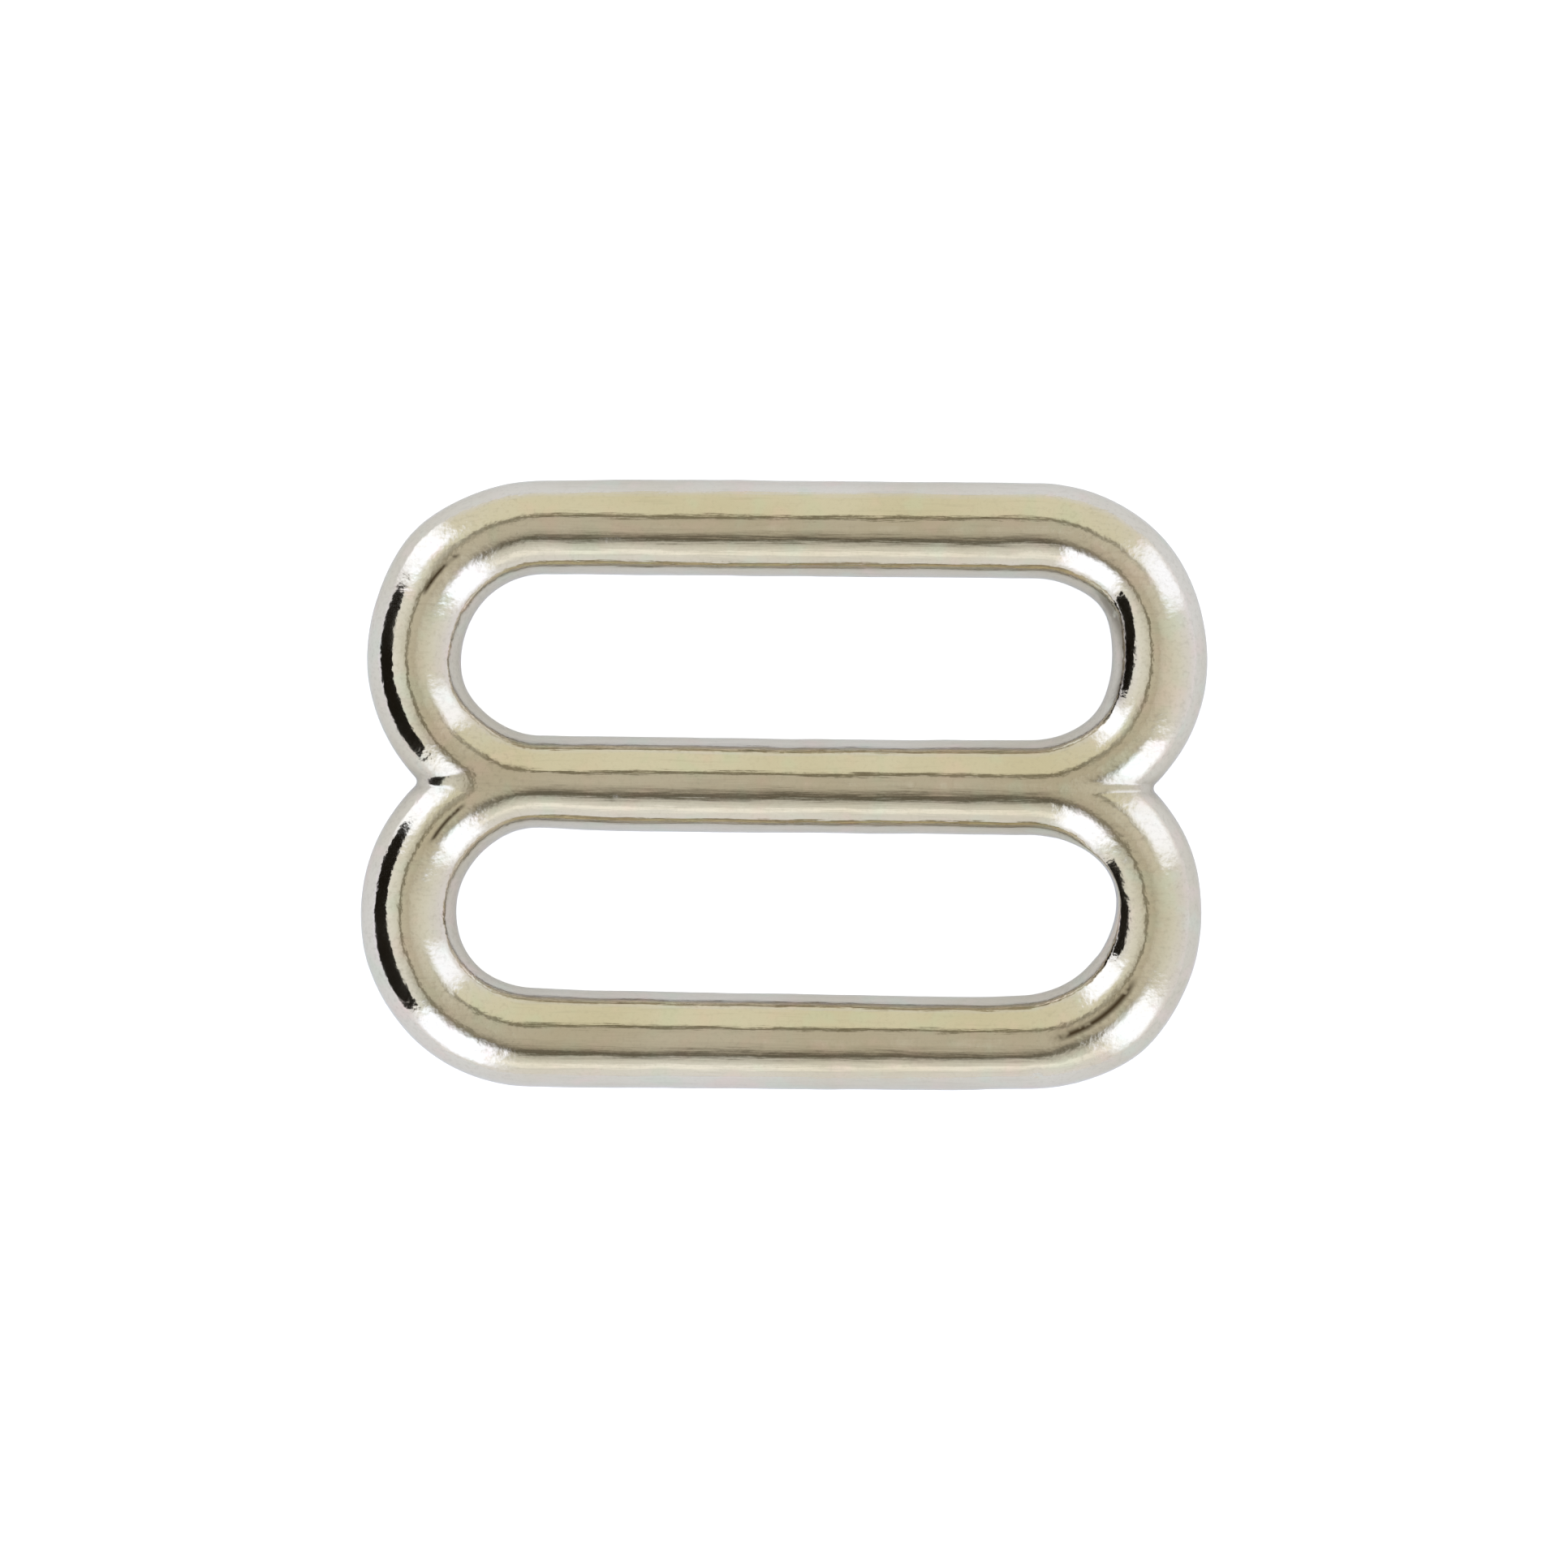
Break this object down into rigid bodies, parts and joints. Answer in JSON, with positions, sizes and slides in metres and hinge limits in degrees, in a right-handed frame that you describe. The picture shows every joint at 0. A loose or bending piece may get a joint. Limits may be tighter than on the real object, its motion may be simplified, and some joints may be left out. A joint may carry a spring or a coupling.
{
  "type": "strap slider",
  "caption": "Figure-eight strap slider with two long round-ended slots beside a shared centre bar, for adjusting a strap's length.",
  "frame": {"origin": "on the flat back, under the middle of the centre bar", "axes": "+Z out of the flat back towards the rounded face; X along the bars, across the strap; Y the way the strap travels, from slot to slot"},
  "size_m": [0.0258, 0.0186, 0.0024],
  "materials": {
    "nickel_plate": "polished"
  },
  "bodies": {
    "root": {"slider_body": "nickel_plate"}
  },
  "joints": []
}
